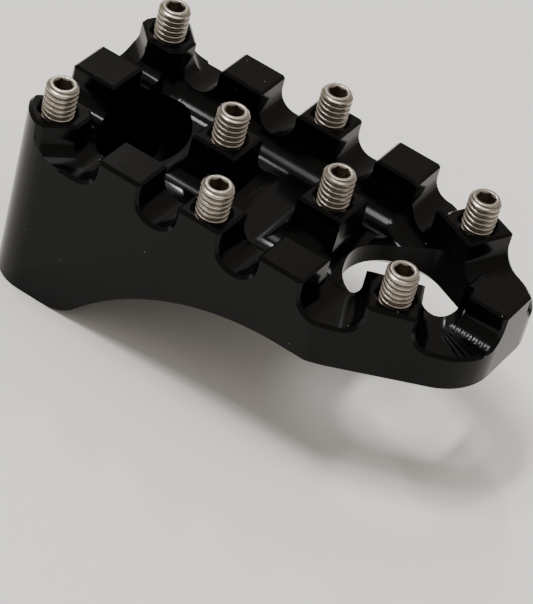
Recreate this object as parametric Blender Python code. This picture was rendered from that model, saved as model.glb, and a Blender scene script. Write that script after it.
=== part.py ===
"""Toe peg for a motorbike's foot control: one milled aluminium body with eight steel grub screws.

The peg reaches out along +X from its bolting face at X = 0, with its treaded deck up (+Z) and its
length on the plane Y = 0. The origin is the middle of the bolting face, level with the two bolts.
All lengths are in metres.
"""
import math
from collections import namedtuple

import bmesh
import bpy
from mathutils import Vector

MM = 0.001

# Outside of the block
LENGTH = 75.7 * MM
WIDTH = 38.5 * MM
DECK_Z = 17.5 * MM
ROOT_DEPTH = 29.7 * MM
ROOT_CORNER_R = 7.2 * MM
TAPER_LENGTH = 21.1 * MM
TIP_WIDTH = 19.45 * MM
KNEE_R = 3.0 * MM
TIP_CORNER_R = 8.5 * MM
RIM_CHAMFER = 0.5 * MM

# Underside: flat root, round shoulder, hollow arch and a rising tip
SHOULDER_R = 7.0 * MM
ARCH_R = 43.2 * MM
ARCH_BACK = 25.7 * MM
TIP_DEPTH = 12.2 * MM
TIP_FLAT = 7.0 * MM
TIP_RISE = math.radians(5.0)

# Rim, tread pads and the notches between them
ROOT_WALL = 7.5 * MM
SIDE_WALL = 7.0 * MM
TAPER_WALL = 8.25 * MM
TIP_WALL = 7.9 * MM
PAD = 7.5 * MM
PAD_CHAMFER = 0.4 * MM
NOTCH = 6.4 * MM
FIRST_PAD_X = 19.5 * MM
LAST_PAD_BACK = 7.3 * MM
NOTCH_DEPTH = 5.2 * MM
NOTCH_FLOOR_R = 3.0 * MM
TAPER_PAD_RUN = 9.8 * MM
CORNER_PAD_OUT = 3.0 * MM

# Bay inside the rim, its round-footed posts and its two openings
BAY_DEPTH = 7.6 * MM
BAY_FLOOR_R = 4.2 * MM
BAY_CORNER_R = 4.3 * MM
POST_ROOT_X = 25.45 * MM
POST_TIP_BACK = 31.75 * MM
POST_FOOT_R = 3.2 * MM
POCKET_REACH = 18.2 * MM
POCKET_LEDGE = 0.5 * MM
WINDOW_BACK = 18.6 * MM
WINDOW_LEDGE = 0.15 * MM
WINDOW_CORNER_R = 3.8 * MM
WINDOW_WALL_DEPTH = 10.5 * MM

# Grub screws and the holes that take them
STUD_D = 4.9 * MM
STUD_LENGTH = 12.0 * MM
STUD_PROUD = 4.8 * MM
STUD_TOP_CHAMFER = 0.5 * MM
STUD_CUP_CHAMFER = 0.8 * MM
SOCKET_FLATS = 2.5 * MM
SOCKET_DEPTH = 2.5 * MM
SOCKET_RIM = 0.15 * MM
STUD_CLEARANCE = 0.3 * MM
STUD_HOLE_WALL = 0.8 * MM
HOLE_CHAMFER = 0.4 * MM

# Turn of each socket about its own screw, in degrees
ROOT_POST_TURN = 20.0
TIP_POST_TURN = 48.0
CORNER_TURN = 10.0
SIDE_TURN = 35.0
TAPER_TURN = 5.0

# Bolt holes in the root face
BOLT_HOLE_D = 6.8 * MM
BOLT_PITCH = 12.0 * MM
BOLT_HOLE_CHAMFER = 0.5 * MM
BOLT_RUN_IN = 5.0 * MM

# How far a cutter runs past the surface it opens
PAST = 2.0 * MM

# Facets of a fillet, of a floor's round edge, of a round hole and of a wide arc
FILLET_STEPS = 10
FLOOR_STEPS = 8
HOLE_STEPS = 32
WIDE_STEPS = 28
SMOOTH_ANGLE = math.radians(25.0)

# The share of a side that one fillet may take, and the least half-width of a narrow end
FILLET_ROOM = 0.49
NARROW_END = 0.3 * MM

HALF_WIDTH = WIDTH / 2
UNDER_Z = DECK_Z - ROOT_DEPTH
NOTCH_Z = DECK_Z - NOTCH_DEPTH
KNEE_X = LENGTH - TAPER_LENGTH
ARCH_X = LENGTH - ARCH_BACK
POST_TIP_X = LENGTH - POST_TIP_BACK
STUD_HOLE_R = STUD_D / 2 + STUD_CLEARANCE
TAPER = math.atan2((WIDTH - TIP_WIDTH) / 2, TAPER_LENGTH)
TAPER_ALONG = Vector((math.cos(TAPER), -math.sin(TAPER)))
TAPER_OUT = Vector((math.sin(TAPER), math.cos(TAPER)))


def clear_scene():
    """Remove whatever objects the open file holds."""
    for item in list(bpy.data.objects):
        bpy.data.objects.remove(item, do_unlink=True)


def make_material(name, colour, metallic, roughness):
    """One Principled finish."""
    material = bpy.data.materials.new(name)
    material.use_nodes = True
    shader = material.node_tree.nodes["Principled BSDF"]
    shader.inputs["Base Color"].default_value = (*colour, 1.0)
    shader.inputs["Metallic"].default_value = metallic
    shader.inputs["Roughness"].default_value = roughness
    return material


def arc(centre, radius, start, end, steps):
    """Points of a circular arc from one angle to another, ends included."""
    points = []
    for i in range(steps + 1):
        angle = start + (end - start) * i / steps
        points.append(centre + radius * Vector((math.cos(angle), math.sin(angle))))
    return points


def crossing(point_a, along_a, point_b, along_b):
    """The point where two lines of the plan cross."""
    gap = point_b - point_a
    run = (gap.x * along_b.y - gap.y * along_b.x) / (along_a.x * along_b.y - along_a.y * along_b.x)
    return point_a + along_a * run


def rounded_polygon(corners):
    """Points of a convex anticlockwise polygon whose corners, each (x, y, radius), are rounded.

    A fillet that is too large for its two sides is limited to just under half of the shorter one.
    """
    count = len(corners)
    spots = [Vector((x, y)) for x, y, radius in corners]
    sides = [spots[(i + 1) % count] - spots[i] for i in range(count)]
    points = []
    for i in range(count):
        before, after = sides[i - 1].normalized(), sides[i].normalized()
        turn = before.angle(after)
        room = FILLET_ROOM * min(sides[i - 1].length, sides[i].length)
        radius = min(corners[i][2], room / math.tan(turn / 2))
        centre = spots[i] + (after - before).normalized() * (radius / math.cos(turn / 2))
        start = math.atan2(-before.x, before.y)
        points += arc(centre, radius, start, start + turn, FILLET_STEPS)
    return points


def new_object(name, bm, material=None):
    """Turn a bmesh into an object with its faces pointing out."""
    bmesh.ops.recalc_face_normals(bm, faces=bm.faces)
    mesh = bpy.data.meshes.new(name)
    bm.to_mesh(mesh)
    bm.free()
    item = bpy.data.objects.new(name, mesh)
    bpy.context.scene.collection.objects.link(item)
    if material:
        mesh.materials.append(material)
    return item


def loft(name, rings, material=None):
    """A closed solid through rings of equally many points, with both ends capped."""
    bm = bmesh.new()
    loops = [[bm.verts.new(point) for point in ring] for ring in rings]
    count = len(loops[0])
    for lower, upper in zip(loops, loops[1:]):
        for i in range(count):
            j = (i + 1) % count
            bm.faces.new((lower[i], lower[j], upper[j], upper[i]))
    bm.faces.new(loops[0])
    bm.faces.new(loops[-1])
    return new_object(name, bm, material)


def at_height(points, z):
    """A plan outline lifted to one height."""
    return [Vector((point.x, point.y, z)) for point in points]


def hide_cutter(item):
    """Mark a solid that only shapes another one."""
    item.hide_render = True
    item.display_type = "WIRE"
    return item


def shape_with(target, cutter, operation="DIFFERENCE"):
    """Let one solid cut or join another.

    Notches that part in a fan share their floor and their broken edges. The exact solver leaves
    such a body open when a size changes, and the manifold solver keeps it closed.
    """
    hide_cutter(cutter)
    modifier = target.modifiers.new(cutter.name, "BOOLEAN")
    modifier.operation = operation
    modifier.solver = "MANIFOLD"
    modifier.object = cutter


def walled_outline(inset, root_wall, side_wall, taper_wall, tip_wall, radii):
    """The plan of the block less a wall on each side, moved in by a further inset.

    The radii of the root, knee and tip corners are given at no inset. Each fillet keeps its
    centre as the outline moves in, so its radius falls by the inset. Where the slanting sides
    nearly meet before the tip wall, the outline ends there.
    """
    side_y = HALF_WIDTH - side_wall - inset
    on_taper = Vector((KNEE_X, HALF_WIDTH)) - TAPER_OUT * (taper_wall + inset)
    along_x, along_y = Vector((1.0, 0.0)), Vector((0.0, 1.0))
    knee = crossing(on_taper, TAPER_ALONG, Vector((0.0, side_y)), along_x)
    tip = crossing(on_taper, TAPER_ALONG, Vector((LENGTH - tip_wall - inset, 0.0)), along_y)
    if tip.y < NARROW_END:
        tip = crossing(on_taper, TAPER_ALONG, Vector((0.0, NARROW_END)), along_x)
    root_r, knee_r, tip_r = (radius - inset for radius in radii)
    left = [(root_wall + inset, side_y, root_r), (knee.x, knee.y, knee_r), (tip.x, tip.y, tip_r)]
    right = [(x, -y, radius) for x, y, radius in left]
    return rounded_polygon(right + left[::-1])


def outer_outline(inset=0.0):
    """The block seen from above."""
    return walled_outline(inset, 0.0, 0.0, 0.0, 0.0, (ROOT_CORNER_R, KNEE_R, TIP_CORNER_R))


def bay_outline(inset=0.0):
    """The inner edge of the rim seen from above."""
    radii = (BAY_CORNER_R, BAY_CORNER_R, BAY_CORNER_R)
    return walled_outline(inset, ROOT_WALL, SIDE_WALL, TAPER_WALL, TIP_WALL, radii)


def make_block(material):
    """The blank, a little deeper than the peg, with its top edge broken."""
    rings = [
        at_height(outer_outline(), UNDER_Z - PAST),
        at_height(outer_outline(), DECK_Z - RIM_CHAMFER),
        at_height(outer_outline(RIM_CHAMFER), DECK_Z),
    ]
    return loft("peg_body", rings, material)


def underside_profile():
    """The lower edge of the side view, from root to tip, as (x, z) points."""
    arch_top = DECK_Z - TIP_DEPTH
    arch_centre = Vector((ARCH_X, arch_top - ARCH_R))
    shoulder_z = UNDER_Z + SHOULDER_R
    reach = ARCH_R + SHOULDER_R
    shoulder = Vector((ARCH_X - math.sqrt(reach ** 2 - (shoulder_z - arch_centre.y) ** 2), shoulder_z))
    to_arch = arch_centre - shoulder
    meeting = math.atan2(to_arch.y, to_arch.x)
    points = [Vector((-PAST, UNDER_Z))]
    points += arc(shoulder, SHOULDER_R, -math.pi / 2, meeting, FILLET_STEPS)
    points += arc(arch_centre, ARCH_R, meeting + math.pi, math.pi / 2, WIDE_STEPS)[1:]
    points.append(Vector((ARCH_X + TIP_FLAT, arch_top)))
    rise_run = LENGTH + PAST - ARCH_X - TIP_FLAT
    points.append(Vector((LENGTH + PAST, arch_top + rise_run * math.tan(TIP_RISE))))
    return points


def make_underside_cutter():
    """Everything below the peg's lower surface."""
    profile = underside_profile()
    bottom = UNDER_Z - ROOT_DEPTH
    profile += [Vector((LENGTH + PAST, bottom)), Vector((-PAST, bottom))]
    rings = []
    for y in (-HALF_WIDTH - PAST, HALF_WIDTH + PAST):
        rings.append([Vector((point.x, y, point.y)) for point in profile])
    return loft("cut_underside", rings)


def make_bay_cutter():
    """The bay inside the rim: broken top edge, upright walls and a round-edged floor."""
    floor_z = DECK_Z - BAY_DEPTH
    rings = [
        at_height(bay_outline(-PAD_CHAMFER - PAST), DECK_Z + PAST),
        at_height(bay_outline(), DECK_Z - PAD_CHAMFER),
    ]
    for point in arc(Vector((0.0, 0.0)), BAY_FLOOR_R, 0.0, math.pi / 2, FLOOR_STEPS):
        inset = BAY_FLOOR_R - point.x
        rings.append(at_height(bay_outline(inset), floor_z + BAY_FLOOR_R - point.y))
    return loft("cut_bay", rings)


def foot_flare(height, radius):
    """How far a round foot stands out at a height above the floor."""
    if height >= radius:
        return 0.0
    return radius - math.sqrt(radius ** 2 - (radius - height) ** 2)


def make_post(name, x):
    """A square tread post whose foot runs out into the floor on round fillets."""
    half = PAD / 2
    floor_z = DECK_Z - BAY_DEPTH
    levels = [(DECK_Z, -PAD_CHAMFER, -PAD_CHAMFER), (DECK_Z - PAD_CHAMFER, 0.0, 0.0)]
    for point in arc(Vector((0.0, 0.0)), BAY_FLOOR_R, 0.0, math.pi / 2, FLOOR_STEPS):
        height = BAY_FLOOR_R - point.y
        levels.append((floor_z + height, foot_flare(height, POST_FOOT_R), foot_flare(height, BAY_FLOOR_R)))
    levels.append((floor_z - PAST, POST_FOOT_R, BAY_FLOOR_R))
    rings = []
    for z, flare_x, flare_y in levels:
        wide, deep = half + flare_x, half + flare_y
        square = [(-wide, -deep), (wide, -deep), (wide, deep), (-wide, deep)]
        rings.append([Vector((x + dx, dy, z)) for dx, dy in square])
    return loft(name, rings)


def make_pocket_cutter():
    """The pocket behind the root wall, open right through: a flat side and one as round as the bay."""
    corner_r = BAY_CORNER_R - POCKET_LEDGE
    flat_x = ROOT_WALL + POCKET_LEDGE
    radius = HALF_WIDTH - SIDE_WALL
    centre = Vector((POCKET_REACH - radius, 0.0))
    corner = Vector((flat_x + corner_r, 0.0))
    corner.y = math.sqrt((radius - corner_r) ** 2 - (corner.x - centre.x) ** 2)
    swing = math.atan2(corner.y, corner.x - centre.x)
    outline = arc(centre, radius, -swing, swing, WIDE_STEPS)
    outline += arc(corner, corner_r, swing, math.pi, FILLET_STEPS)[1:]
    mirror_corner = Vector((corner.x, -corner.y))
    outline += arc(mirror_corner, corner_r, math.pi, 2 * math.pi - swing, FILLET_STEPS)[:-1]
    rings = [at_height(outline, UNDER_Z - PAST * 2), at_height(outline, DECK_Z + PAST)]
    return loft("cut_pocket", rings)


def window_outline(outset):
    """The tip window seen from above: round towards the root, narrowing to the tip."""
    on_taper = Vector((KNEE_X, HALF_WIDTH)) - TAPER_OUT * (TAPER_WALL + WINDOW_LEDGE)
    centre = Vector((LENGTH - WINDOW_BACK, 0.0))
    radius = (on_taper - centre).dot(TAPER_OUT)
    end_x = LENGTH - TIP_WALL - WINDOW_LEDGE
    tip_y = crossing(on_taper, TAPER_ALONG, Vector((end_x, 0.0)), Vector((0.0, 1.0))).y
    turn = math.pi / 2 - TAPER
    corner_r = min(WINDOW_CORNER_R, 2 * FILLET_ROOM * tip_y / math.tan(turn / 2))
    corner = Vector((end_x - corner_r, tip_y - corner_r * math.tan(turn / 2)))
    outline = arc(centre, radius + outset, turn, 2 * math.pi - turn, WIDE_STEPS)
    outline += arc(Vector((corner.x, -corner.y)), corner_r + outset, -turn, 0.0, FLOOR_STEPS)
    outline += arc(corner, corner_r + outset, 0.0, turn, FLOOR_STEPS)
    return outline


def make_window_cutter():
    """The opening through the floor at the tip, upright above and flaring out below."""
    wall_end = DECK_Z - WINDOW_WALL_DEPTH
    flare = wall_end - (DECK_Z - TIP_DEPTH) + PAST
    rings = [
        at_height(window_outline(flare), wall_end - flare),
        at_height(window_outline(0.0), wall_end),
        at_height(window_outline(0.0), DECK_Z + PAST),
    ]
    return loft("cut_window", rings)


def groove_profile(width, flare):
    """A notch seen along its run, as (across, z) points, with every wall moved out by flare."""
    half = width / 2 + flare
    floor_r = min(NOTCH_FLOOR_R, FILLET_ROOM * width) + flare
    middle = Vector((half - floor_r, NOTCH_Z - flare + floor_r))
    right = arc(middle, floor_r, -math.pi / 2, 0.0, FLOOR_STEPS)
    right.append(Vector((half, DECK_Z - PAD_CHAMFER)))
    right.append(Vector((half + PAD_CHAMFER + PAST, DECK_Z + PAST)))
    return right + [Vector((-point.x, point.y)) for point in reversed(right)]


def make_groove_cutter(name, start, wall, width):
    """One straight notch out to a wall: round floor corners, a broken mouth and broken outer edges."""
    along = (wall - start).normalized()
    across = Vector((-along.y, along.x))
    stations = [
        (start, 0.0),
        (wall - along * RIM_CHAMFER, 0.0),
        (wall + along * PAST, RIM_CHAMFER + PAST),
    ]
    rings = []
    for place, flare in stations:
        ring = []
        for point in groove_profile(width, flare):
            spot = place + across * point.x
            ring.append(Vector((spot.x, spot.y, point.y)))
        rings.append(ring)
    return loft(name, rings)


def make_rim_form():
    """The block up to the notches' floor, with its edge broken as the rim's is."""
    rings = [
        at_height(outer_outline(-PAST), NOTCH_Z - RIM_CHAMFER - PAST),
        at_height(outer_outline(RIM_CHAMFER), NOTCH_Z),
    ]
    return loft("rim_form", rings)


def make_wedge_cutter(name, outline, rim_form):
    """The flat-floored fan between two notches that part from one spot, less the rim's form."""
    bottom = NOTCH_Z - RIM_CHAMFER - PAST / 2
    wedge = loft(name, [at_height(outline, bottom), at_height(outline, DECK_Z + PAST)])
    shape_with(wedge, rim_form)
    return wedge


# A rim pad: its kind, the middle of its top, its outward direction and how far out its wall is
Pad = namedtuple("Pad", "kind at out wall")

# Of two notches that part in a fan, the one beside this kind of pad runs on into the bay
RUNS_IN = {
    ("root", "corner"): "root",
    ("corner", "side"): "side",
    ("side", "taper"): "side",
    ("taper", "tip"): "taper",
}


def side_pad_places():
    """Lengths along X of the pads on a straight side, spread evenly near their usual pitch."""
    run = KNEE_X - LAST_PAD_BACK - FIRST_PAD_X
    gaps = max(1, round(run / (PAD + NOTCH)))
    return [FIRST_PAD_X + run * i / gaps for i in range(gaps + 1)]


def rim_pads(side):
    """The pads on one side of the rim, from root to tip."""
    corner_out = Vector((-1.0, 1.0)).normalized()
    corner = Vector((ROOT_CORNER_R, HALF_WIDTH - ROOT_CORNER_R)) + corner_out * CORNER_PAD_OUT
    corner_wall = math.sqrt(ROOT_CORNER_R ** 2 - (PAD / 2) ** 2) - CORNER_PAD_OUT
    taper = Vector((KNEE_X, HALF_WIDTH)) + TAPER_ALONG * TAPER_PAD_RUN - TAPER_OUT * (TAPER_WALL / 2)
    pads = [
        Pad("root", Vector((ROOT_WALL / 2, 0.0)), Vector((-1.0, 0.0)), ROOT_WALL / 2),
        Pad("corner", corner, corner_out, corner_wall),
    ]
    for x in side_pad_places():
        middle = Vector((x, HALF_WIDTH - SIDE_WALL / 2))
        pads.append(Pad("side", middle, Vector((0.0, 1.0)), SIDE_WALL / 2))
    pads.append(Pad("taper", taper, TAPER_OUT, TAPER_WALL / 2))
    pads.append(Pad("tip", Vector((LENGTH - TIP_WALL / 2, 0.0)), Vector((1.0, 0.0)), TIP_WALL / 2))
    return [
        Pad(pad.kind, Vector((pad.at.x, pad.at.y * side)), Vector((pad.out.x, pad.out.y * side)), pad.wall)
        for pad in pads
    ]


def side_along(pad, towards):
    """The direction along a pad's wall that leads to another pad."""
    along = Vector((-pad.out.y, pad.out.x))
    return along if (towards.at - pad.at).dot(along) > 0 else -along


def make_notch_cutters(side, label, rim_form):
    """All the notches of one side of the rim."""
    cutters = []
    pads = rim_pads(side)
    reach_in = TAPER_WALL / 2 + PAST
    far = 2 * (TAPER_WALL + PAST)
    for i, (first, second) in enumerate(zip(pads, pads[1:])):
        name = "cut_notch_" + label + "_" + str(i)
        if first.kind == second.kind:
            middle = (first.at + second.at) / 2
            width = (second.at - first.at).length - PAD
            wall = middle + first.out * first.wall
            cutters.append(make_groove_cutter(name, middle - first.out * reach_in, wall, width))
            continue
        inner, other = (first, second) if RUNS_IN[first.kind, second.kind] == first.kind else (second, first)
        inner_along, other_along = side_along(inner, other), side_along(other, inner)
        room = (other.at - inner.at).dot(inner_along) - PAD / 2 - STUD_HOLE_R - STUD_HOLE_WALL
        width = min(NOTCH, room)
        inner_at = inner.at + inner_along * ((PAD + width) / 2)
        other_at = other.at + other_along * ((PAD + width) / 2)
        apex = crossing(inner_at, inner.out, other_at, other.out)
        inner_wall = inner_at + inner.out * inner.wall
        other_wall = other_at + other.out * other.wall
        outline = [apex, apex + inner.out * far, apex + other.out * far]
        cutters.append(make_groove_cutter(name + "_main", inner_at - inner.out * reach_in, inner_wall, width))
        cutters.append(make_groove_cutter(name + "_side", apex, other_wall, width))
        cutters.append(make_wedge_cutter(name + "_fan", outline, rim_form))
    return cutters


def stud_places():
    """Name, plan position and turn of each grub screw."""
    places = [
        ("stud_centre_root", Vector((POST_ROOT_X, 0.0)), ROOT_POST_TURN),
        ("stud_centre_tip", Vector((POST_TIP_X, 0.0)), TIP_POST_TURN),
    ]
    for side, label in ((1.0, "left"), (-1.0, "right")):
        pads = rim_pads(side)
        middle_side = 2 + len(side_pad_places()) // 2
        places.append(("stud_root_" + label, pads[1].at, CORNER_TURN * side))
        places.append(("stud_side_" + label, pads[middle_side].at, SIDE_TURN * side))
        places.append(("stud_tip_" + label, pads[-2].at, TAPER_TURN * side))
    return places


def round_cutter(name, at, levels):
    """A turned solid on an upright axis, from (z, radius) levels."""
    rings = []
    for z, radius in levels:
        rings.append(at_height(arc(at, radius, 0.0, 2 * math.pi, HOLE_STEPS)[:-1], z))
    return loft(name, rings)


def make_stud_hole_cutter(name, at):
    """A blind tapped hole with a broken mouth and a drilled end."""
    foot_z = DECK_Z + STUD_PROUD - STUD_LENGTH - STUD_CLEARANCE
    levels = [
        (DECK_Z + PAST, STUD_HOLE_R + HOLE_CHAMFER + PAST),
        (DECK_Z - HOLE_CHAMFER, STUD_HOLE_R),
        (foot_z, STUD_HOLE_R),
        (foot_z - STUD_CUP_CHAMFER, STUD_HOLE_R - STUD_CUP_CHAMFER),
    ]
    return round_cutter("cut_hole_" + name, at, levels)


def make_bolt_hole_cutter(name, y):
    """A hole through the root wall into the pocket, with a broken mouth."""
    radius = BOLT_HOLE_D / 2
    levels = [
        (-PAST, radius + BOLT_HOLE_CHAMFER + PAST),
        (BOLT_HOLE_CHAMFER, radius),
        (ROOT_WALL + BOLT_RUN_IN, radius),
    ]
    rings = []
    for x, level_r in levels:
        ring = arc(Vector((y, 0.0)), level_r, 0.0, 2 * math.pi, HOLE_STEPS)[:-1]
        rings.append([Vector((x, point.x, point.y)) for point in ring])
    return loft(name, rings)


def make_stud_mesh(material):
    """One grub screw, its top face at local Z = 0: broken ends and a hexagon socket."""
    radius = STUD_D / 2
    levels = [
        (0.0, radius - STUD_TOP_CHAMFER),
        (-STUD_TOP_CHAMFER, radius),
        (-STUD_LENGTH + STUD_CUP_CHAMFER, radius),
        (-STUD_LENGTH, radius - STUD_CUP_CHAMFER),
    ]
    pattern = round_cutter("stud_pattern", Vector((0.0, 0.0)), levels)
    corner_r = SOCKET_FLATS / 2 / math.cos(math.pi / 6)
    hexagon = arc(Vector((0.0, 0.0)), corner_r, 0.0, 2 * math.pi, 6)[:-1]
    socket = loft("cut_socket", [at_height(hexagon, PAST), at_height(hexagon, -SOCKET_DEPTH)])
    rim_levels = [
        (PAST, corner_r + SOCKET_RIM / 2 + PAST),
        (-corner_r - SOCKET_RIM / 2 + SOCKET_FLATS / 2, SOCKET_FLATS / 2),
    ]
    rim = round_cutter("cut_socket_rim", Vector((0.0, 0.0)), rim_levels)
    shape_with(pattern, socket)
    shape_with(pattern, rim)
    bpy.context.view_layer.update()
    depsgraph = bpy.context.evaluated_depsgraph_get()
    mesh = bpy.data.meshes.new_from_object(pattern.evaluated_get(depsgraph))
    mesh.name = "stud"
    mesh.materials.clear()
    mesh.materials.append(material)
    for helper in (pattern, socket, rim):
        bpy.data.objects.remove(helper, do_unlink=True)
    mesh.shade_smooth()
    mesh.set_sharp_from_angle(angle=SMOOTH_ANGLE)
    return mesh


def make_body(material):
    """Cut the blank to the finished peg."""
    body = make_block(material)
    shape_with(body, make_underside_cutter())
    shape_with(body, make_bay_cutter())
    shape_with(body, make_post("post_root", POST_ROOT_X), "UNION")
    shape_with(body, make_post("post_tip", POST_TIP_X), "UNION")
    shape_with(body, make_pocket_cutter())
    shape_with(body, make_window_cutter())
    rim_form = make_rim_form()
    for side, label in ((1.0, "left"), (-1.0, "right")):
        for cutter in make_notch_cutters(side, label, rim_form):
            shape_with(body, cutter)
    for name, at, turn in stud_places():
        shape_with(body, make_stud_hole_cutter(name, at))
    for side, label in ((1.0, "left"), (-1.0, "right")):
        shape_with(body, make_bolt_hole_cutter("cut_bolt_" + label, side * BOLT_PITCH / 2))
    body.data.shade_smooth()
    body.data.set_sharp_from_angle(angle=SMOOTH_ANGLE)
    return body


def make_studs(material):
    """Set one grub screw in each hole."""
    mesh = make_stud_mesh(material)
    for name, at, turn in stud_places():
        stud = bpy.data.objects.new(name, mesh)
        stud.location = (at.x, at.y, DECK_Z + STUD_PROUD)
        stud.rotation_euler = (0.0, 0.0, math.radians(turn))
        bpy.context.scene.collection.objects.link(stud)


clear_scene()
make_body(make_material("black_anodised_aluminium", (0.012, 0.012, 0.013), 0.6, 0.3))
make_studs(make_material("stainless_steel", (0.62, 0.58, 0.52), 1.0, 0.25))
bpy.context.view_layer.update()
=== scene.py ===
# %% [markdown]
# A toe peg for a motorbike, dressed for the camera.
# The solids of the part come in as a fixed frame, and this file gives them their finish.
# Each step says what the thing is on the real peg, how it could be made here, and why this way.

# %% Load the frame and measure it
import math

import bmesh
import bpy
import numpy as np
from mathutils import Matrix, Vector


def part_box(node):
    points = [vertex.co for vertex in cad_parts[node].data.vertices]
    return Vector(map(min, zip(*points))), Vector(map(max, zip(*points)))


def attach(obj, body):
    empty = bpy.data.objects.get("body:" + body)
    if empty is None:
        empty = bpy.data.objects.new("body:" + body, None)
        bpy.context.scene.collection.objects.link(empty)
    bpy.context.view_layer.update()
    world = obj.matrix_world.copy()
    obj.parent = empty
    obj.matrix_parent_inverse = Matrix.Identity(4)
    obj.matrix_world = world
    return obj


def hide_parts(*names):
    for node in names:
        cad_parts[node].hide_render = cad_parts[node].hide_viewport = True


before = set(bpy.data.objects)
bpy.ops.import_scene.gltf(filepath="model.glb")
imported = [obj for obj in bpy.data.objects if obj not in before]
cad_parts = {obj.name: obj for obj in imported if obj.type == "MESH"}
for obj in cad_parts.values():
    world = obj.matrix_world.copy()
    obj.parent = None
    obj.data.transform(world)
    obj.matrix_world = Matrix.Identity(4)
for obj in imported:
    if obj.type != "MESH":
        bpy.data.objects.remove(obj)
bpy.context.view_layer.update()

MM = 0.001
body_low, body_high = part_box("peg_body")

# %% [markdown]
# Colours are written as sRGB hex values, as a colour picker shows them.
# Blender's shaders want linear light, so one function turns them.
# A shader is a graph of nodes. One function adds any node, with its options, its plain values and
# its links, so that each finish below reads as a list of what it is made of.

# %% Colour and node helpers


def linear(hex_colour):
    """Each channel c becomes ((c + 0.055) / 1.055) to the power 2.4, or c / 12.92 when dark."""
    channels = [int(hex_colour[i:i + 2], 16) / 255 for i in (1, 3, 5)]
    turned = [c / 12.92 if c <= 0.04045 else ((c + 0.055) / 1.055) ** 2.4 for c in channels]
    return (*turned, 1.0)


def add_node(tree, kind, inputs=None, **options):
    """Add a shader node; each input is a plain value, a socket, or a node's first output."""
    node = tree.nodes.new(kind)
    for key, value in options.items():
        setattr(node, key, value)
    for key, source in (inputs or {}).items():
        if isinstance(source, bpy.types.Node):
            source = source.outputs[0]
        if isinstance(source, bpy.types.NodeSocket):
            tree.links.new(source, node.inputs[key])
        else:
            node.inputs[key].default_value = source
    return node


def new_material(name):
    """An empty Principled material and its shader node."""
    material = bpy.data.materials.new(name)
    material.use_nodes = True
    return material, material.node_tree.nodes["Principled BSDF"]


print("#808080 in linear light:", [round(c, 3) for c in linear("#808080")[:3]])

# %% [markdown]
# Black anodised aluminium: the block is milled, then its skin is turned to a hard dyed oxide.
# The cutter leaves its own marks, and the thin oxide keeps them: fine rays where it swung round
# the tip's corner notch, short ticks across that notch's round foot, and upright lines on the
# tip's end face.
# Each mark is a formula of the place on the peg, made of Math nodes, so it needs no picture and
# no unwrapping. Real marks are finer than a pixel of this view, so they are drawn coarser here.
# They fade in and out by pairs of limits: no marks at the first number, full marks at the second.

# %% Cutter marks on the milled body
MARK_DEPTH_MM = 0.006
FAN_APEX_MM = (65.0, -5.3)
FAN_RAYS = 51
FAN_DEPTH = 2.0
FAN_START_DEGREES = (-37.0, -35.0)
FAN_END_DEGREES = (-12.0, -14.0)
FAN_RADIUS_MM = (4.2, 4.8)
FAN_BASE_MM = (12.05, 12.15)
FAN_TOP_MM = (12.55, 12.45)
TICK_SPACING_MM = 0.95
TICK_WANDER = 6.0
TICK_DEPTH = 2.5
TICK_MIDDLE_MM = -5.1
TICK_REACH_MM = (0.8, 0.7)
TICK_START_MM = (67.8, 68.1)
TICK_BASE_MM = (12.25, 12.35)
TICK_TOP_MM = (13.85, 13.65)
END_FACE_MM = (74.6, 75.0)
END_LINE_MM = 0.5
END_LINE_DEPTH = 5.0
DEGREE = math.radians(1.0)


def keep_within(tree, marks, limits):
    """Marks times a fade for each limit: 0 at its first number, 1 at its second, clamped."""
    for value, (absent, full), unit in limits:
        fade = add_node(tree, "ShaderNodeMapRange",
                        {"Value": value, "From Min": absent * unit, "From Max": full * unit})
        marks = add_node(tree, "ShaderNodeMath", {0: marks, 1: fade}, operation="MULTIPLY")
    return marks


def uneven_lines(tree, along, spacing_mm):
    """Noise that changes along one axis alone, so that it draws uneven straight lines."""
    line = add_node(tree, "ShaderNodeCombineXYZ", {"X": along})
    return add_node(tree, "ShaderNodeTexNoise",
                    {"Vector": line, "Scale": 1.0 / (spacing_mm * MM), "Detail": 2.0})


def fan_marks(tree, x, y, z):
    """Shallow rays round the apex on the flat of the notch: depth * sin(rays * angle).

    The angle is atan2(dy, dx) and the distance is sqrt(dx^2 + dy^2), both from the apex.
    """
    dx = add_node(tree, "ShaderNodeMath", {0: x, 1: FAN_APEX_MM[0] * MM}, operation="SUBTRACT")
    dy = add_node(tree, "ShaderNodeMath", {0: y, 1: FAN_APEX_MM[1] * MM}, operation="SUBTRACT")
    angle = add_node(tree, "ShaderNodeMath", {0: dy, 1: dx}, operation="ARCTAN2")
    turned = add_node(tree, "ShaderNodeMath", {0: angle, 1: FAN_RAYS}, operation="MULTIPLY")
    rays = add_node(tree, "ShaderNodeMath", {0: turned}, operation="SINE")
    marks = add_node(tree, "ShaderNodeMath", {0: rays, 1: FAN_DEPTH}, operation="MULTIPLY")
    dx_squared = add_node(tree, "ShaderNodeMath", {0: dx, 1: dx}, operation="MULTIPLY")
    dy_squared = add_node(tree, "ShaderNodeMath", {0: dy, 1: dy}, operation="MULTIPLY")
    square = add_node(tree, "ShaderNodeMath", {0: dx_squared, 1: dy_squared}, operation="ADD")
    distance = add_node(tree, "ShaderNodeMath", {0: square}, operation="SQRT")
    return keep_within(tree, marks, (
        (angle, FAN_START_DEGREES, DEGREE), (angle, FAN_END_DEGREES, DEGREE),
        (distance, FAN_RADIUS_MM, MM), (z, FAN_BASE_MM, MM), (z, FAN_TOP_MM, MM)))


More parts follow.
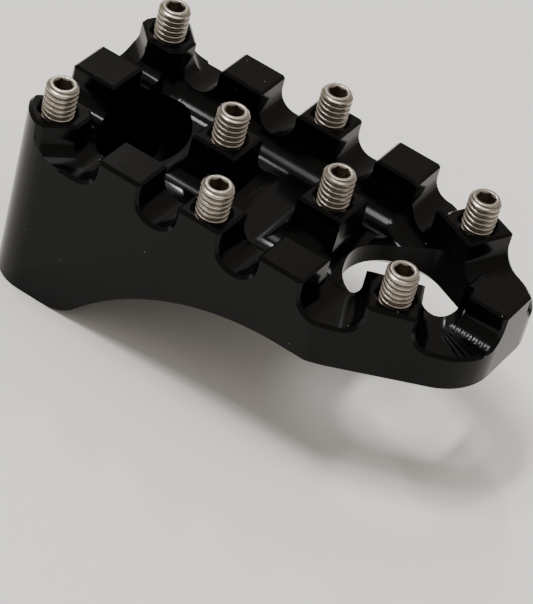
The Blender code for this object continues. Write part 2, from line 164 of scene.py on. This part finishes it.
def tick_marks(tree, x, y, z):
    """Short ticks across the notch's round foot.

    Depth * sin(2 pi x / spacing + wander * noise(x)), in a band on both sides of its middle.
    """
    turns_per_metre = 2 * math.pi / (TICK_SPACING_MM * MM)
    noise = uneven_lines(tree, x, 2 * TICK_SPACING_MM)
    turn = add_node(tree, "ShaderNodeMath", {0: x, 1: turns_per_metre}, operation="MULTIPLY")
    wander = add_node(tree, "ShaderNodeMath", {0: noise, 1: TICK_WANDER}, operation="MULTIPLY")
    phase = add_node(tree, "ShaderNodeMath", {0: turn, 1: wander}, operation="ADD")
    wave = add_node(tree, "ShaderNodeMath", {0: phase}, operation="SINE")
    marks = add_node(tree, "ShaderNodeMath", {0: wave, 1: TICK_DEPTH}, operation="MULTIPLY")
    side = add_node(tree, "ShaderNodeMath", {0: y, 1: TICK_MIDDLE_MM * MM}, operation="SUBTRACT")
    off = add_node(tree, "ShaderNodeMath", {0: side}, operation="ABSOLUTE")
    return keep_within(tree, marks, (
        (off, TICK_REACH_MM, MM), (x, TICK_START_MM, MM),
        (z, TICK_BASE_MM, MM), (z, TICK_TOP_MM, MM)))


def end_marks(tree, x, y):
    """Upright lines of uneven spacing on the tip's end face."""
    noise = uneven_lines(tree, y, END_LINE_MM)
    lines = add_node(tree, "ShaderNodeMath", {0: noise, 1: END_LINE_DEPTH}, operation="MULTIPLY")
    return keep_within(tree, lines, ((x, END_FACE_MM, MM),))


ray_gap_mm = 2 * math.pi * FAN_RADIUS_MM[0] / FAN_RAYS
print("mm between rays, ticks and lines:", round(ray_gap_mm, 2), TICK_SPACING_MM, END_LINE_MM)

# %% [markdown]
# The dye swallows nearly all light, so what the eye sees is the thin mirror of the clear oxide.
# A non-metal with an almost black base and a low specular level gives that: flat walls show a
# quiet grey, hollows go black, and a lamp draws a crisp streak along each round-nosed cut.
# The finish reads the marks as a shallow bump, and adds a thin film of handling and a few pale
# specks of dust. A speck is far smaller than a pixel, so it is drawn a little coarser.

# %% Finish of the milled body
FILM_MM = 9.0
FILM_SPREAD = (0.3, 0.7)
OXIDE_ROUGHNESS = (0.14, 0.18)
OXIDE_SPECULAR = 0.13
OXIDE_IOR = 1.5
DUST_SPACING_MM = 2.8
DUST_SIZE_MM = 0.085


def black_anodised():
    """Satin black: a faint film changes the gloss, and a few dust specks lie on it."""
    material, shader = new_material("black_anodised_aluminium")
    tree = material.node_tree
    place = add_node(tree, "ShaderNodeTexCoord").outputs["Object"]
    x, y, z = add_node(tree, "ShaderNodeSeparateXYZ", {"Vector": place}).outputs
    notch = add_node(tree, "ShaderNodeMath", {
        0: fan_marks(tree, x, y, z), 1: tick_marks(tree, x, y, z)}, operation="ADD")
    marks = add_node(tree, "ShaderNodeMath", {0: notch, 1: end_marks(tree, x, y)}, operation="ADD")
    bump = add_node(tree, "ShaderNodeBump", {"Height": marks, "Distance": MARK_DEPTH_MM * MM})
    film = add_node(tree, "ShaderNodeTexNoise", {
        "Vector": place, "Scale": 1.0 / (FILM_MM * MM), "Detail": 4.0, "Roughness": 0.55})
    gloss = add_node(tree, "ShaderNodeMapRange", {
        "Value": film, "From Min": FILM_SPREAD[0], "From Max": FILM_SPREAD[1],
        "To Min": OXIDE_ROUGHNESS[0], "To Max": OXIDE_ROUGHNESS[1]})
    dust = add_node(tree, "ShaderNodeTexVoronoi", {
        "Vector": place, "Scale": 1.0 / (DUST_SPACING_MM * MM), "Randomness": 1.0})
    speck = add_node(tree, "ShaderNodeMath", {
        0: dust.outputs["Distance"], 1: DUST_SIZE_MM / DUST_SPACING_MM}, operation="LESS_THAN")
    tint = add_node(tree, "ShaderNodeMix", {
        "A": linear("#050505"), "B": linear("#7a756d"), "Factor": speck}, data_type="RGBA")
    tree.links.new(bump.outputs["Normal"], shader.inputs["Normal"])
    tree.links.new(tint.outputs["Result"], shader.inputs["Base Color"])
    tree.links.new(gloss.outputs["Result"], shader.inputs["Roughness"])
    shader.inputs["IOR"].default_value = OXIDE_IOR
    shader.inputs["Specular IOR Level"].default_value = OXIDE_SPECULAR
    return material


anodised = black_anodised()
print(anodised.name, "has", len(anodised.node_tree.nodes), "nodes")

# %% [markdown]
# Stainless steel grub screws: rolled threads, left bright. Steel is a true metal, so its colour
# sits in the reflection. Shade is painted into the thread's roots and into the socket: each screw
# carries a painted-shade attribute; there the steel is painted a darker brown and made duller.

# %% Finish of the studs
GRAIN_MM = 1.6
STEEL_ROUGHNESS = (0.26, 0.5)


def stainless_steel():
    """Warm bright steel, painted brown as shade and duller where the shade attribute is high."""
    material, shader = new_material("stainless_steel")
    tree = material.node_tree
    place = add_node(tree, "ShaderNodeTexCoord").outputs["Object"]
    painted_shade = add_node(tree, "ShaderNodeAttribute", attribute_name="painted_shade").outputs["Fac"]
    grain = add_node(tree, "ShaderNodeTexNoise", {
        "Vector": place, "Scale": 1.0 / (GRAIN_MM * MM), "Detail": 2.0})
    clean = add_node(tree, "ShaderNodeMix", {
        "A": linear("#a09a90"), "B": linear("#b4aea4"), "Factor": grain}, data_type="RGBA")
    # Painted shade: the attribute darkens the steel to brown in the thread's roots and the socket.
    tint = add_node(tree, "ShaderNodeMix", {
        "A": clean.outputs["Result"], "B": linear("#5c4e42"), "Factor": painted_shade}, data_type="RGBA")
    gloss = add_node(tree, "ShaderNodeMapRange", {
        "Value": painted_shade, "To Min": STEEL_ROUGHNESS[0], "To Max": STEEL_ROUGHNESS[1]})
    tree.links.new(tint.outputs["Result"], shader.inputs["Base Color"])
    tree.links.new(gloss.outputs["Result"], shader.inputs["Roughness"])
    shader.inputs["Metallic"].default_value = 1.0
    return material


steel = stainless_steel()
print(steel.name, "has", len(steel.node_tree.nodes), "nodes")

# %% [markdown]
# The body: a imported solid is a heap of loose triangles, so it would shade as flat facets.
# Its copy is merged, its flat faces are joined again, and every edge gets the small broken
# corner that deburring leaves. Wide faces keep their own normals, so flats stay flat.

# %% Dress the milled body
MERGE_MM = 0.002
FLAT_DEGREES = 0.6
SHARP_DEGREES = 22.0
BREAK_DEGREES = 28.0
EDGE_BREAK_MM = 0.08
WIDE_FACE_WEIGHT = 100


def milled_copy(node_name, new_name, material):
    """A merged copy of a CAD node with broken edges and smooth round faces."""
    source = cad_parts[node_name]
    mesh = bpy.data.meshes.new(new_name)
    bm = bmesh.new()
    bm.from_mesh(source.data)
    bmesh.ops.remove_doubles(bm, verts=bm.verts, dist=MERGE_MM * MM)
    bmesh.ops.dissolve_limit(bm, angle_limit=math.radians(FLAT_DEGREES),
                             verts=bm.verts, edges=bm.edges)
    for face in bm.faces:
        face.smooth = True
    for edge in bm.edges:
        if len(edge.link_faces) == 2:
            edge.smooth = edge.calc_face_angle(0.0) < math.radians(SHARP_DEGREES)
    bm.to_mesh(mesh)
    bm.free()
    mesh.materials.clear()
    mesh.materials.append(material)
    piece = bpy.data.objects.new(new_name, mesh)
    bpy.context.scene.collection.objects.link(piece)
    break_edge = piece.modifiers.new("broken_edges", "BEVEL")
    break_edge.limit_method = "ANGLE"
    break_edge.angle_limit = math.radians(BREAK_DEGREES)
    break_edge.width = EDGE_BREAK_MM * MM
    break_edge.segments = 2
    flats = piece.modifiers.new("flats_stay_flat", "WEIGHTED_NORMAL")
    flats.mode = "FACE_AREA"
    flats.weight = WIDE_FACE_WEIGHT
    flats.keep_sharp = True
    return piece


body = milled_copy("peg_body", "milled_body", anodised)
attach(body, "root")
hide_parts("peg_body")
print("body faces:", len(body.data.polygons))

# %% [markdown]
# A grub screw is one turned surface: up the thread, over the broken edge, across the flat top and
# down into the hexagon socket. So it is drawn as one grid, with the turn around the axis as one
# parameter and the path along that profile as the other. The thread is the same profile pushed
# along the axis by one pitch for each turn, and it fades out where the ends are broken.

# %% Dress the grub screws
THREAD_PITCH_MM = 0.88
THREAD_DEPTH_MM = 0.42
CREST_SHARE = 0.22
FLANK_SHARE = 0.74
AROUND = 96
ROWS_PER_TURN = 18
TOP_CHAMFER_MM = 0.5
FOOT_SHARE = 0.6
FLAT_SHARES = (0.25, 0.6, 0.9)
SOCKET_FLATS_MM = 2.5
SOCKET_DEPTH_MM = 2.4
RIM_GAP_MM = 0.04
RIM_DROP_MM = 0.03
RIM_SLOPE = 0.9
# Painted shade, 0 to 1: darker brown steel in the thread's roots, at the socket's rim and in it.
ROOT_SHADE = 0.6
ROOT_SHADE_WAVES = (0.4, 0.9)
RIM_SHADE = (0.1, 0.3)
SOCKET_SHADE = 0.8
STUD_SHARP_DEGREES = 48.0
# Rows down the socket: mm below the rim or floor, share of the hexagon's radius, painted shade.
WALL_ROWS = ((0.05, 1.0, RIM_SHADE[1]), (0.12, 0.995, SOCKET_SHADE))
FLOOR_ROWS = ((0.0, 0.985, SOCKET_SHADE), (0.05, 0.93, SOCKET_SHADE), (0.45, 0.0, SOCKET_SHADE))


def thread_wave(phase):
    """Depth below the crest, 0 to 1: a flat crest, then 3 f^2 - 2 f^3 down to a round root."""
    t = np.abs(((phase + 0.5) % 1.0) - 0.5) * 2.0
    flank = np.clip((t - CREST_SHARE) / FLANK_SHARE, 0.0, 1.0)
    return flank * flank * (3.0 - 2.0 * flank)


def hexagon_radius(turn, flats):
    """Distance from the axis to a hexagon's side: (flats / 2) / cos(turn from its middle)."""
    sector = math.pi / 3
    return (flats / 2) / np.cos((turn + sector / 2) % sector - sector / 2)


def stud_grid(radius, length):
    """Heights, radii and painted shade of the surface, as rows along the profile by turns around.

    Row by row: the foot, the threaded side where radius = crest - depth * wave(height / pitch
    + turn / full turn), the broken top edge, the flat ring, the rim and the socket.
    """
    turn = np.arange(AROUND) / AROUND * 2 * np.pi
    side_rows = int(length / (THREAD_PITCH_MM * MM) * ROWS_PER_TURN)
    side_z = np.linspace(-length, 0.0, side_rows)
    zz, tt = np.meshgrid(side_z, turn, indexing="ij")
    wave = thread_wave(zz / (THREAD_PITCH_MM * MM) + tt / (2 * np.pi))
    thread = radius - THREAD_DEPTH_MM * MM * wave
    chamfer = TOP_CHAMFER_MM * MM
    top_limit = radius - chamfer + np.clip(-zz, 0.0, None)
    foot_limit = radius - chamfer + np.clip(zz + length, 0.0, None)
    side_r = np.minimum(np.minimum(thread, top_limit), foot_limit)
    # Painted shade in the thread's roots, growing with the depth of the wave.
    low_wave, high_wave = ROOT_SHADE_WAVES
    side_shade = ROOT_SHADE * np.clip((wave - low_wave) / (high_wave - low_wave), 0.0, 1.0)

    hexagon = hexagon_radius(turn, SOCKET_FLATS_MM * MM)
    rim_r = SOCKET_FLATS_MM * MM / 2 / math.cos(math.pi / 6) + RIM_GAP_MM * MM
    drop = (rim_r - hexagon) * RIM_SLOPE
    depth = SOCKET_DEPTH_MM * MM

    rows = [(-length, 0.0, 0.0), (-length, FOOT_SHARE * side_r[0], 0.0), (-length, side_r[0], 0.0)]
    rows += zip(side_z[1:], side_r[1:], side_shade[1:])
    rows += [(0.0, side_r[-1] * (1 - share) + rim_r * share, 0.0) for share in FLAT_SHARES]
    rows += [(-RIM_DROP_MM * MM, rim_r, RIM_SHADE[0])]
    rows += [(-below * MM - drop, hexagon * share, painted_shade) for below, share, painted_shade in WALL_ROWS]
    rows += [(-below * MM - depth, hexagon * share, painted_shade) for below, share, painted_shade in FLOOR_ROWS]
    full_rows = [[np.broadcast_to(value, AROUND) for value in row] for row in rows]
    heights, radii, painted_shade = np.array(full_rows).transpose(1, 0, 2)
    return heights, radii, turn, painted_shade


def grid_mesh(name, heights, radii, turn, painted_shade):
    """A closed mesh from rows of heights and radii; the first and last rows are single points."""
    rows, around = heights.shape
    points = np.stack([radii * np.cos(turn), radii * np.sin(turn), heights], axis=-1)
    rings = points[1:-1].reshape(-1, 3)
    verts = np.vstack([rings, points[0, :1], points[-1, :1]])
    foot, socket = len(rings), len(rings) + 1
    i = np.arange(rows - 3)[:, None] * around
    j = np.arange(around)[None, :]
    k = (j + 1) % around
    quads = np.stack([i + j, i + k, i + around + k, i + around + j], axis=-1).reshape(-1, 4)
    last = (rows - 3) * around
    j, k = j[0], k[0]
    low = np.stack([k, j, np.full(around, foot)], axis=-1)
    high = np.stack([last + j, last + k, np.full(around, socket)], axis=-1)
    mesh = bpy.data.meshes.new(name)
    mesh.from_pydata(verts, [], quads.tolist() + low.tolist() + high.tolist())
    # The painted shade goes on each point as an attribute.
    values = np.concatenate([painted_shade[1:-1].ravel(), painted_shade[0, :1], painted_shade[-1, :1]])
    mesh.attributes.new("painted_shade", "FLOAT", "POINT").data.foreach_set("value", values)
    mesh.update()
    return mesh


def dress_stud(node_name, turn_degrees):
    """A threaded grub screw in the place of a CAD stud."""
    low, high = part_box(node_name)
    radius = (high.x - low.x) / 2
    mesh = grid_mesh("threaded_" + node_name, *stud_grid(radius, high.z - low.z))
    middle = (low + high) / 2
    place = Matrix.Translation((middle.x, middle.y, high.z))
    mesh.transform(place @ Matrix.Rotation(math.radians(turn_degrees), 4, "Z"))
    mesh.materials.append(steel)
    mesh.shade_smooth()
    mesh.set_sharp_from_angle(angle=math.radians(STUD_SHARP_DEGREES))
    piece = bpy.data.objects.new("threaded_" + node_name, mesh)
    bpy.context.scene.collection.objects.link(piece)
    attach(piece, "root")
    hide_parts(node_name)
    return piece


STUD_TURNS = {
    "stud_centre_root": 20.0,
    "stud_centre_tip": 48.0,
    "stud_root_left": 10.0,
    "stud_root_right": -10.0,
    "stud_side_left": 35.0,
    "stud_side_right": -35.0,
    "stud_tip_left": 5.0,
    "stud_tip_right": -5.0,
}
for stud_name, stud_turn in STUD_TURNS.items():
    stud = dress_stud(stud_name, stud_turn)
print("stud faces:", len(stud.data.polygons))

# %% [markdown]
# The floor and the lights belong to the studio, not to the peg. The floor is a sheet of matt
# paper, so it is one flat square in a rough, pale white.
# A black mirror shows little but its lamps, each as a streak along the round cuts that face it.
# So the lamps were placed by going back from the camera over a streak to where its light comes
# from: the window stands high behind the peg, and the strip and its end piece hang over the root.
# The wide overhead lamp is weak, and lifts the flats a little. A warm, almost even sky fills
# the shadows and lights the paper.

# %% Floor and lights
FLOOR_SIZE_MM = 3000.0
FLOOR_GAP_MM = 0.05
# Each lamp: centre in metres, direction of its length, length and width in metres, radiance.
LAMPS = {
    "window": ((-0.360, 0.555, 0.753), (0.83, 0.56, 0), 0.06, 0.10, 90.0),
    "strip": ((-0.185, -0.08, 0.97), (0, 1, 0), 0.34, 0.078, 66.0),
    "strip_end": ((-0.40, -0.11, 0.97), (0, 1, 0), 0.12, 0.07, 60.0),
    "overhead": ((0.16, 0.12, 1.0), (1, 0, 0), 0.5, 0.5, 2.8),
}
SKY_HEIGHTS = (0.1, 0.6)
SKY_STRENGTHS = (0.5, 0.57)


def make_floor():
    """A plain pale sheet under the root."""
    half = FLOOR_SIZE_MM * MM / 2
    z = body_low.z - FLOOR_GAP_MM * MM
    mesh = bpy.data.meshes.new("floor")
    corners = [(-half, -half, z), (half, -half, z), (half, half, z), (-half, half, z)]
    mesh.from_pydata(corners, [], [(0, 1, 2, 3)])
    material, shader = new_material("paper_sweep")
    shader.inputs["Base Color"].default_value = linear("#f2f1ef")
    shader.inputs["Roughness"].default_value = 0.9
    shader.inputs["Specular IOR Level"].default_value = 0.1
    mesh.materials.append(material)
    floor = bpy.data.objects.new("floor", mesh)
    bpy.context.scene.collection.objects.link(floor)


def soft_light(name, centre, along, length, width, radiance):
    """A rectangle lamp that faces the peg, with its length in the direction along.

    Power in watts = radiance * pi * area, so lamps of any size can be compared by radiance.
    """
    target = (body_low + body_high) / 2
    side = Vector(along).normalized()
    away = Vector(centre) - target
    away = (away - side * away.dot(side)).normalized()
    data = bpy.data.lights.new(name, "AREA")
    data.shape = "RECTANGLE"
    data.size, data.size_y = length, width
    data.energy = radiance * math.pi * length * width
    turn = Matrix((side, away.cross(side), away)).transposed()
    light = bpy.data.objects.new(name, data)
    light.matrix_world = Matrix.Translation(Vector(centre)) @ turn.to_4x4()
    bpy.context.scene.collection.objects.link(light)


def studio_world():
    """A warm sky: its strength goes straight from the first value to the second with height."""
    world = bpy.data.worlds.new("studio")
    world.use_nodes = True
    tree = world.node_tree
    back = tree.nodes["Background"]
    place = add_node(tree, "ShaderNodeTexCoord").outputs["Generated"]
    split = add_node(tree, "ShaderNodeSeparateXYZ", {"Vector": place})
    ramp = add_node(tree, "ShaderNodeMapRange", {
        "Value": split.outputs["Z"], "From Min": SKY_HEIGHTS[0], "From Max": SKY_HEIGHTS[1],
        "To Min": SKY_STRENGTHS[0], "To Max": SKY_STRENGTHS[1]})
    tree.links.new(ramp.outputs["Result"], back.inputs["Strength"])
    back.inputs["Color"].default_value = linear("#fff6ea")
    bpy.context.scene.world = world


make_floor()
for lamp_name, lamp in LAMPS.items():
    soft_light(lamp_name, *lamp)
studio_world()
print("lamps:", ", ".join(LAMPS))

# %% [markdown]
# The camera repeats the photograph's view. Its direction, tilt and lens come from measuring the
# pads' corners and the studs in the picture, whose size is 533 by 604 pixels.

# %% Camera
IMAGE_WIDTH = 533
FOCAL_PIXELS = 3091.74
VIEW_AZIMUTH = 113.67
VIEW_DOWN = 39.58
VIEW_ROLL = -15.42
CAMERA_MM = (179.74, -322.87, 285.10)
SENSOR_WIDTH_MM = 36.0
CLIP_START_MM = 10.0


def make_camera():
    """Axes from the looking direction, then a roll about it."""
    a, e, r = (math.radians(v) for v in (VIEW_AZIMUTH, VIEW_DOWN, VIEW_ROLL))
    forward = Vector((math.cos(e) * math.cos(a), math.cos(e) * math.sin(a), -math.sin(e)))
    right = Vector((math.sin(a), -math.cos(a), 0.0))
    down = forward.cross(right)
    image_x = right * math.cos(r) + down * math.sin(r)
    image_y = -right * math.sin(r) + down * math.cos(r)
    turn = Matrix((image_x, -image_y, -forward)).transposed()
    data = bpy.data.cameras.new("photo_view")
    data.sensor_fit = "HORIZONTAL"
    data.sensor_width = SENSOR_WIDTH_MM
    data.lens = FOCAL_PIXELS / IMAGE_WIDTH * SENSOR_WIDTH_MM
    data.clip_start = CLIP_START_MM * MM
    camera = bpy.data.objects.new("photo_view", data)
    camera.matrix_world = Matrix.Translation(Vector(CAMERA_MM) * MM) @ turn.to_4x4()
    bpy.context.scene.collection.objects.link(camera)
    bpy.context.scene.camera = camera
    return camera


photo_camera = make_camera()
print("lens in mm:", round(photo_camera.data.lens, 1))
